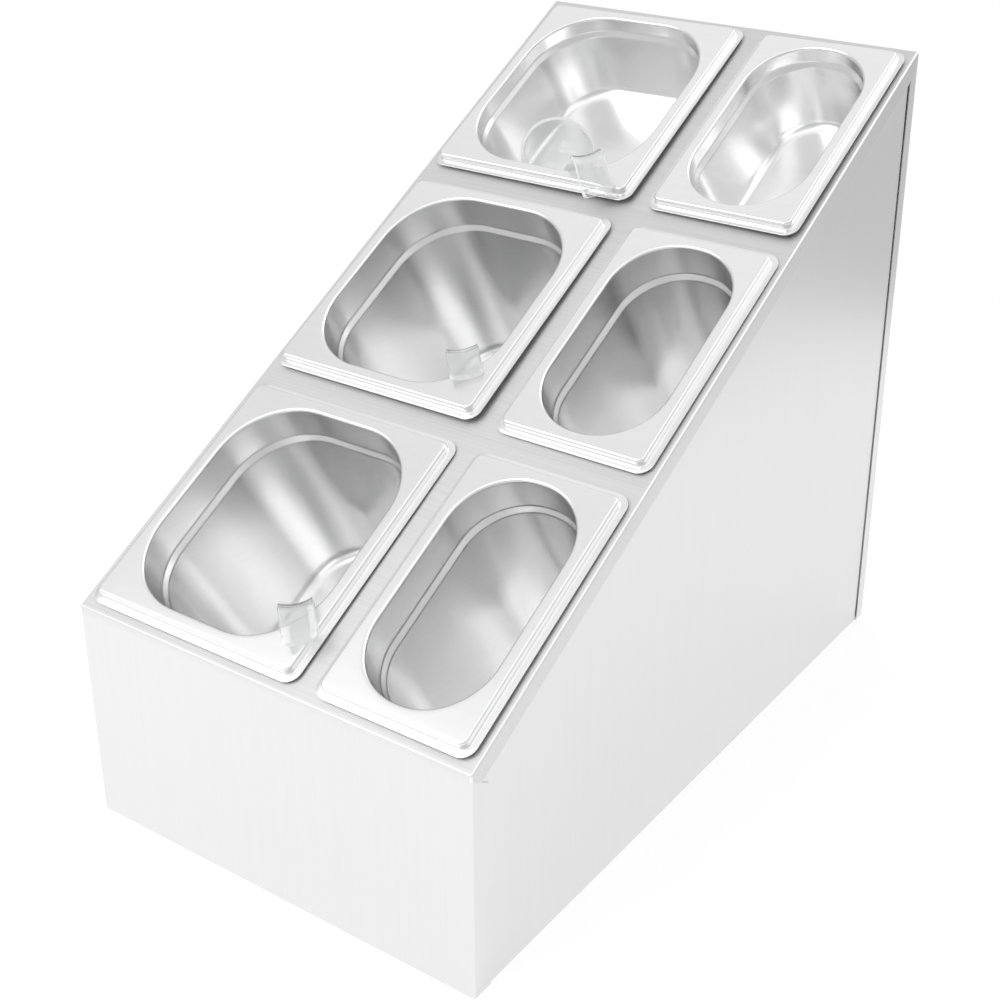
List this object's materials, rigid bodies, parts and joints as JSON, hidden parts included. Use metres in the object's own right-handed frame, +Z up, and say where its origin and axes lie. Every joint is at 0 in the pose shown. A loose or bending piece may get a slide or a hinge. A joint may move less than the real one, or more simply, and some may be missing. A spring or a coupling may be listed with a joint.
{
  "type": "condiment holder",
  "caption": "Slanted steel countertop stand that holds open lift-out pans by their rims in two columns, with clear ladles hooked over the rims of the wide pans.",
  "frame": {"origin": "centre of the base on the table", "axes": "+X to the right seen from the low front, +Y to the tall back, +Z up"},
  "size_m": [0.292, 0.495, 0.4342],
  "materials": {
    "stand_steel": "brushed",
    "pan_steel": "satin",
    "clear_plastic": "gloss"
  },
  "bodies": {
    "stand": {"front_panel": "stand_steel", "deck": "stand_steel", "back_panel": "stand_steel", "left_side_panel": "stand_steel", "right_side_panel": "stand_steel"},
    "front_large_pan_body": {"front_large_pan": "pan_steel"},
    "front_small_pan_body": {"front_small_pan": "pan_steel"},
    "middle_large_pan_body": {"middle_large_pan": "pan_steel"},
    "middle_small_pan_body": {"middle_small_pan": "pan_steel"},
    "rear_large_pan_body": {"rear_large_pan": "pan_steel"},
    "rear_small_pan_body": {"rear_small_pan": "pan_steel"},
    "front_ladle_body": {"front_ladle": "clear_plastic"},
    "middle_ladle_body": {"middle_ladle": "clear_plastic"},
    "rear_ladle_body": {"rear_ladle": "clear_plastic"}
  },
  "joints": [
    {"name": "front_large_pan_lift", "type": "slide", "parent": "stand", "child": "front_large_pan_body", "axis": [0, -0.5, 0.866], "range_m": [0, 0.16]},
    {"name": "front_small_pan_lift", "type": "slide", "parent": "stand", "child": "front_small_pan_body", "axis": [0, -0.5, 0.866], "range_m": [0, 0.16]},
    {"name": "middle_large_pan_lift", "type": "slide", "parent": "stand", "child": "middle_large_pan_body", "axis": [0, -0.5, 0.866], "range_m": [0, 0.16]},
    {"name": "middle_small_pan_lift", "type": "slide", "parent": "stand", "child": "middle_small_pan_body", "axis": [0, -0.5, 0.866], "range_m": [0, 0.16]},
    {"name": "rear_large_pan_lift", "type": "slide", "parent": "stand", "child": "rear_large_pan_body", "axis": [0, -0.5, 0.866], "range_m": [0, 0.08]},
    {"name": "rear_small_pan_lift", "type": "slide", "parent": "stand", "child": "rear_small_pan_body", "axis": [0, -0.5, 0.866], "range_m": [0, 0.08]},
    {"name": "front_ladle_lift", "type": "slide", "parent": "front_large_pan_body", "child": "front_ladle_body", "axis": [0, -0.5, 0.866], "range_m": [0, 0.12]},
    {"name": "middle_ladle_lift", "type": "slide", "parent": "middle_large_pan_body", "child": "middle_ladle_body", "axis": [0, -0.5, 0.866], "range_m": [0, 0.12]},
    {"name": "rear_ladle_lift", "type": "slide", "parent": "rear_large_pan_body", "child": "rear_ladle_body", "axis": [0, -0.5, 0.866], "range_m": [0, 0.08]}
  ]
}
